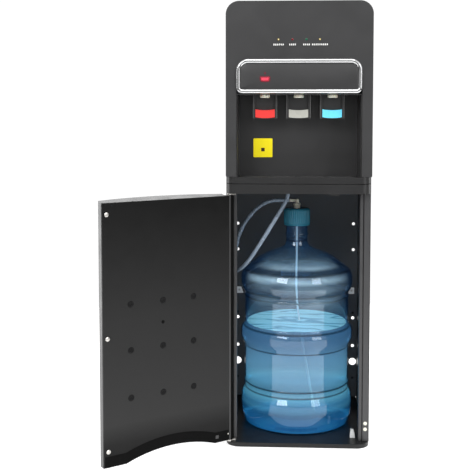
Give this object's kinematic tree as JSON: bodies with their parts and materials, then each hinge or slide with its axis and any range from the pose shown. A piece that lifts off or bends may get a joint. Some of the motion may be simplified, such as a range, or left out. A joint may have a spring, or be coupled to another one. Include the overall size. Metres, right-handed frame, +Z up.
{
  "type": "bottom-loading water dispenser",
  "caption": "Floor-standing water dispenser with push-lever taps over a drip tray, and a hinged door on a bay that holds a large bottle with its feed hose.",
  "frame": {"origin": "centre of the base plate's underside, on the floor", "axes": "+Z up, -Y out of the front towards the user, +X to the user's right"},
  "size_m": [0.589, 0.533, 1.02],
  "materials": {
    "dark_paint": "satin dark grey paint",
    "black_sheet": "satin black",
    "dark_plastic": "fine-grained dark grey",
    "chrome": "polished",
    "steel": "zinc plated",
    "aluminium": "extruded",
    "cream_plastic": "food-grade, satin",
    "lock_red": "semi-gloss",
    "insert_red": "gloss",
    "insert_grey": "gloss",
    "insert_cyan": "gloss",
    "led_white": "lit lens",
    "led_red": "unlit lens",
    "led_green": "unlit lens",
    "label_yellow": "printed vinyl",
    "bottle_blue": "clear tinted polycarbonate",
    "water": "still water",
    "cap_blue": "translucent",
    "silicone": "translucent silicone",
    "grey_plastic": "satin",
    "board_green": "circuit board",
    "rocker_red": "gloss",
    "rocker_green": "gloss"
  },
  "bodies": {
    "cabinet": {"base_plate": "dark_paint", "side_panel_left": "dark_paint", "side_panel_right": "dark_paint", "rear_panel": "black_sheet", "top_cover": "dark_plastic", "bay_ceiling": "black_sheet", "front_stile_left": "dark_paint", "front_stile_right": "dark_paint", "header_panel": "dark_plastic", "front_facade": "dark_plastic", "recess_liner": "dark_plastic", "chrome_ring": "chrome", "tap_housing": "dark_plastic", "hot_tap": "cream_plastic", "room_tap": "cream_plastic", "cold_tap": "cream_plastic", "led_power": "led_white", "led_hot": "led_red", "led_cold": "led_green", "led_child_lock": "led_white", "use_label": "label_yellow", "bottle": "bottle_blue", "water": "water", "bottle_cap": "cap_blue", "dip_tube": "silicone", "elbow_fitting": "cream_plastic", "feed_hose": "silicone", "hose_port": "cream_plastic", "hinge_bracket_top": "steel", "hinge_bracket_bottom": "steel", "door_catch": "dark_plastic", "bottle_stop": "grey_plastic", "rear_clip_left": "grey_plastic", "rear_clip_right": "grey_plastic", "cold_tank": "steel", "hot_tank": "steel", "water_pump": "dark_plastic", "fan_frame": "black_sheet", "heat_sink": "aluminium", "control_board": "board_green", "power_inlet": "dark_plastic", "drain_cap": "dark_plastic"},
    "door": {"door_outer_skin": "dark_plastic", "door_inner_panel": "black_sheet", "door_screw_top": "steel", "door_screw_middle": "steel", "door_screw_bottom": "steel"},
    "hot_lever": {"hot_paddle": "dark_plastic", "hot_insert": "insert_red"},
    "room_lever": {"room_paddle": "dark_plastic", "room_insert": "insert_grey"},
    "cold_lever": {"cold_paddle": "dark_plastic", "cold_insert": "insert_cyan"},
    "child_lock": {"child_lock_button": "lock_red"},
    "drip_tray": {"drip_tray": "dark_plastic"},
    "drip_grille": {"drip_grille": "dark_plastic"},
    "fan": {"fan_rotor": "black_sheet"},
    "hot_switch": {"rocker_hot": "rocker_red"},
    "cold_switch": {"rocker_cold": "rocker_green"}
  },
  "joints": [
    {"name": "door_hinge", "type": "hinge", "parent": "cabinet", "child": "door", "pos_m": [-0.1568, -0.163, 0.3], "axis": [0, 0, 1], "range_deg": [-15, 144.5]},
    {"name": "hot_lever_push", "type": "hinge", "parent": "cabinet", "child": "hot_lever", "pos_m": [-0.077, -0.123, 0.822], "axis": [1, 0, 0], "range_deg": [0, 12], "stiffness_Nm_per_rad": 0.2, "springref_deg": -8.59},
    {"name": "room_lever_push", "type": "hinge", "parent": "cabinet", "child": "room_lever", "pos_m": [0, -0.123, 0.822], "axis": [1, 0, 0], "range_deg": [0, 12], "stiffness_Nm_per_rad": 0.2, "springref_deg": -8.59},
    {"name": "cold_lever_push", "type": "hinge", "parent": "cabinet", "child": "cold_lever", "pos_m": [0.077, -0.123, 0.822], "axis": [1, 0, 0], "range_deg": [0, 12], "stiffness_Nm_per_rad": 0.2, "springref_deg": -8.59},
    {"name": "child_lock_press", "type": "slide", "parent": "cabinet", "child": "child_lock", "axis": [0, 1, 0], "range_m": [0, 0.003], "stiffness_N_per_m": 200, "springref_m": -0.002},
    {"name": "drip_tray_slide", "type": "slide", "parent": "cabinet", "child": "drip_tray", "axis": [0, -1, 0], "range_m": [0, 0.08]},
    {"name": "drip_grille_lift", "type": "slide", "parent": "drip_tray", "child": "drip_grille", "axis": [0, 0, 1], "range_m": [0, 0.02]},
    {"name": "fan_spin", "type": "hinge", "parent": "cabinet", "child": "fan", "pos_m": [0, 0.163, 0.88], "axis": [0, 1, 0], "continuous": true},
    {"name": "hot_switch_rock", "type": "hinge", "parent": "cabinet", "child": "hot_switch", "pos_m": [0.092, 0.174, 0.7], "axis": [1, 0, 0], "range_deg": [-12, 0]},
    {"name": "cold_switch_rock", "type": "hinge", "parent": "cabinet", "child": "cold_switch", "pos_m": [0.12, 0.174, 0.7], "axis": [1, 0, 0], "range_deg": [-12, 0]}
  ]
}
